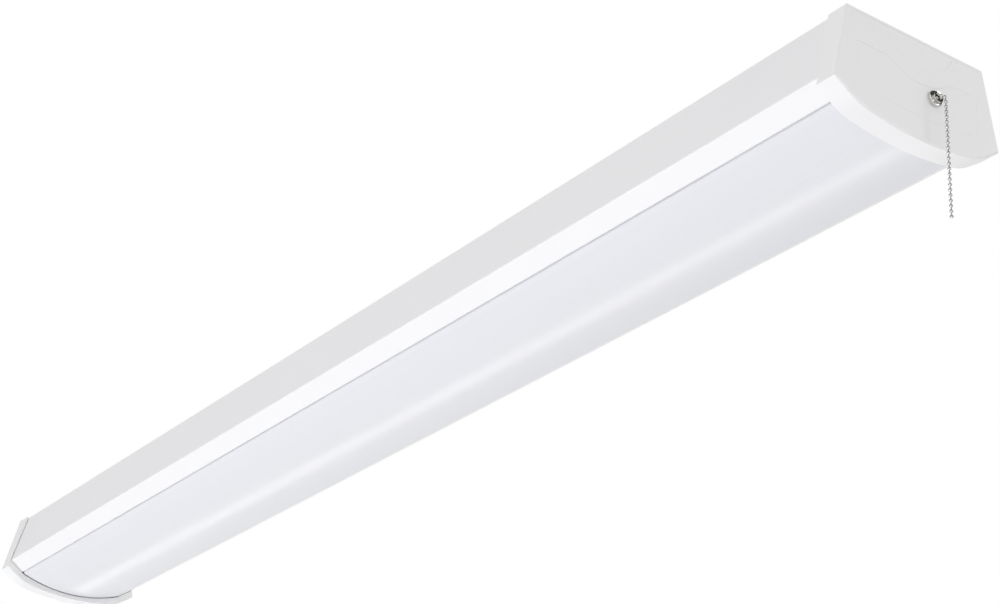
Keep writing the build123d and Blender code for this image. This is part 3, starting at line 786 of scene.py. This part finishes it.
# %% copies in their places
def set_out(source, node, ending, places):
    """One piece that stands for the node, of copies at (place, turn), or unturned at None."""
    copies = []
    for place, turn in places:
        copy = bpy.data.objects.new(node + "_copy", source.data.copy())
        bpy.context.scene.collection.objects.link(copy)
        copy.rotation_mode = "QUATERNION"
        copy.rotation_quaternion = turn or Quaternion()
        copy.location = place
        copies.append(copy)
    alone(*copies)
    set_in_place()
    if len(copies) > 1:
        bpy.ops.object.join()
    copies[0].name = node + ending
    stands_for(copies[0], node)


def strung(node, places):
    """The node's beads at (place, where the chain comes from), each pin towards the latter."""
    turned_places = [
        (place, (before - place).to_track_quat("X", "Z")) for place, before in places
    ]
    set_out(bead, node, "_strung", turned_places)


along_bore = Vector((bead_pitch, 0, 0))
inner_run = [
    (inner_place, mouth_place - 2 * along_bore),
    (inner_place - along_bore, inner_place - 2 * along_bore),
]
down = Vector((0, 0, -bead_pitch))
hanging_count = round((swivel_place.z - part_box("pull_chain")[0].z) / bead_pitch)
hanging = [swivel_place + down * number for number in range(hanging_count + 1)]
strung("chain_inner", inner_run)
strung("chain_bead_mouth", [(mouth_place, inner_place)])
strung("chain_bead_bend", [(bend_place, mouth_place)])
strung("chain_bead_top", [(top_place, bend_place)])
strung("chain_bead_swivel", [(swivel_place, top_place)])
strung("pull_chain", list(zip(hanging[1:], hanging)))
bpy.data.objects.remove(bead)
print("hanging beads:", hanging_count)

# %% [markdown]
# A light-emitting chip is a small white frame, moulded round a well that is filled
# with yellow phosphor. The well is an inset of the lower face with its corners cut,
# pushed in a little, and its floor gets the second material.

# %% one light chip
chip_size = Vector((0.0035, 0.0028, 0.0007))
well_border = 0.00038
well_corner = 0.0003
well_depth = 0.00012
none_selected()
bpy.ops.mesh.primitive_cube_add(size=1, scale=chip_size)
chip = bpy.context.object
set_in_place()
chip.data.materials.append(chip_frame_finish)
chip.data.materials.append(finishes["chip_phosphor"])
choose(chip, "FACE", lambda face: face.normal.z < -0.9)
bpy.ops.mesh.inset(thickness=well_border)
bpy.ops.mesh.bevel(offset=well_corner, segments=2, affect="VERTICES")
chip.active_material_index = 1
bpy.ops.mesh.extrude_region_move(TRANSFORM_OT_translate={"value": (0, 0, well_depth)})
bpy.ops.object.material_slot_assign()
bpy.ops.object.mode_set(mode="OBJECT")
print("faces of one chip:", len(chip.data.polygons))

# %% chips in their rows
chips_in_row = 16
for number in strip_numbers:
    node = f"led_chips_{number}"
    low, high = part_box(node)
    pitch = Vector(((high.x - low.x - chip_size.x) / (chips_in_row - 1), 0, 0))
    first = Vector((low.x + chip_size.x / 2, (low.y + high.y) / 2, (low.z + high.z) / 2))
    chip_places = [(first + pitch * count, None) for count in range(chips_in_row)]
    set_out(chip, node, "_row", chip_places)
bpy.data.objects.remove(chip)
print("chip pitch", round(pitch.x * 1000, 2), "mm")

# %% [markdown]
# The room is a pale floor 2.4 m below the ceiling, under an even sky. A little glow
# that the camera alone sees makes it paler than the light, so that the back plate
# stands out from it. Only its upper side is there, so that a view from below isn't
# shut out: where a ray meets the back of the plane, the mix turns to a transparent
# shader.

# %% floor
floor_depth = 2.4
floor_size = 30
floor_glow = 0.22
none_selected()
bpy.ops.mesh.primitive_plane_add(size=floor_size, location=(0, 0, -floor_depth))
floor = bpy.context.object
floor.name = "floor"
paint = Finish("floor_paint", Emission_Strength=1.0)
drift = paint.noise(3.0)
paint.shade(drift, (0.8, 0.8, 0.8), 1.0, 1.025)
paint.show("Roughness", about(0.75, (drift, 0.1)))
seen_by_camera = paint.add("ShaderNodeLightPath", {}, {}, "Is Camera Ray")
glow = paint.mix(seen_by_camera, tone((0, 0, 0)), tone((floor_glow,) * 3))
paint.show("Emission Color", glow)
underside = paint.add("ShaderNodeNewGeometry", {}, {}, "Backfacing")
painted = Value(paint.tree, paint.shader.outputs[0])
clear = paint.add("ShaderNodeBsdfTransparent", {}, {})
one_sided = paint.add("ShaderNodeMixShader", {}, {0: underside, 1: painted, 2: clear})
output = paint.tree.nodes["Material Output"]
paint.tree.links.new(one_sided.socket, output.inputs["Surface"])
floor.data.materials.append(paint.material)
floor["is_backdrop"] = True
print("floor at", floor.location.z)

# %% [markdown]
# The sky is white to the camera. What it throws on the fixture is a little less, because
# the lamps add the rest. Bright metal shows what stands round it, and in a studio that is a
# white backdrop and soft boxes inside a darker room. So a reflected ray sees a dark
# ring about the line of the picture, and white inside and outside it, which gives the
# beads and the nut their outlines. How far a ray turns from that line is told by its
# share along it: 1 is straight ahead, and below 0 is behind the camera.

# %% sky
world = bpy.data.worlds.new("room")
bpy.context.scene.world = world
world.use_nodes = True
sky_light = 0.825
ring_dark = 0.06
backdrop_edges = (0.7, 0.82)
behind_edges = (-0.25, -0.45)


class Sky(Finish):
    """The same steps, for the world's tree."""

    def __init__(self, tree):
        self.tree = tree

    def ramp(self, value, start, end):
        sockets = {0: value, 1: start, 2: end, 3: 0.0, 4: 1.0}
        return self.add("ShaderNodeMapRange", {}, sockets)

    def ray(self, kind):
        return self.add("ShaderNodeLightPath", {}, {}, kind)


sky = Sky(world.node_tree)
toward = sky.add("ShaderNodeTexCoord", {}, {}, "Generated")
line_sockets = {0: toward, 1: direction}
facing = sky.add("ShaderNodeVectorMath", {"operation": "DOT_PRODUCT"}, line_sockets, "Value")
white = sky.ramp(facing, *backdrop_edges) + sky.ramp(facing, *behind_edges)
studio = ring_dark + white * (1 - ring_dark)
seen = sky.ray("Is Camera Ray") + sky.ray("Is Transmission Ray")
mirrored = sky.ray("Is Glossy Ray")
strength = seen + (1 - seen) * (mirrored * studio + (1 - mirrored) * sky_light)
background = world.node_tree.nodes["Background"]
background.inputs["Color"].default_value = (1, 1, 1, 1)
world.node_tree.links.new(strength.socket, background.inputs["Strength"])
print("sky light", sky_light)

# %% [markdown]
# A broad lamp low in front, a little cool, lifts the lower faces, which the sky reaches
# mostly by way of the floor. A smaller one beyond the chain's end lights the end cap
# from above, and throws the soft shadow beside the nut. A long narrow one behind shows
# only in gloss: its reflection is the soft bright streak along the lens.

# %% lamps
def soft_lamp(name, place, aim, size, power, colour=(1, 1, 1)):
    data = bpy.data.lights.new(name, "AREA")
    data.color = colour
    data.shape = "RECTANGLE"
    data.size, data.size_y = size
    data.energy = power
    lamp = bpy.data.objects.new(name, data)
    bpy.context.scene.collection.objects.link(lamp)
    lamp.location = place
    lamp.rotation_euler = (Vector(aim) - Vector(place)).to_track_quat("-Z", "Y").to_euler()
    lamp.visible_camera = False
    return lamp


cool = (0.95, 0.95, 1.0)
front = soft_lamp("front_lamp", (-0.5, -1.3, -2.35), (-0.5, 0.0, -0.07), (3.6, 2.4), 78.0, cool)
end = soft_lamp("end_lamp", (2.5, 1.5, 0.7), (0.61, 0.0, -0.04), (1.0, 1.0), 8.5)
streak = soft_lamp("streak_lamp", (-2.6, 1.5, -1.165), (-2.6, 0.0, -0.07), (4.8, 0.16), 12.0)
streak.visible_diffuse = False
print("lamps:", front.name, end.name, streak.name)

# %% [markdown]
# The Standard view shows a colour as it is written. Last, the size of the whole light
# is taken again, and printed beside the size of the imported model.

# %% plain view of the colours
bpy.context.scene.view_settings.view_transform = "Standard"

# %% the sizes before and after
sizes = {
    "cad": [list(corner) for corner in cad_box],
    "visual": [list(corner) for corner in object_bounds()],
}
for name, box in sizes.items():
    print(name, [[round(value, 4) for value in corner] for corner in box])
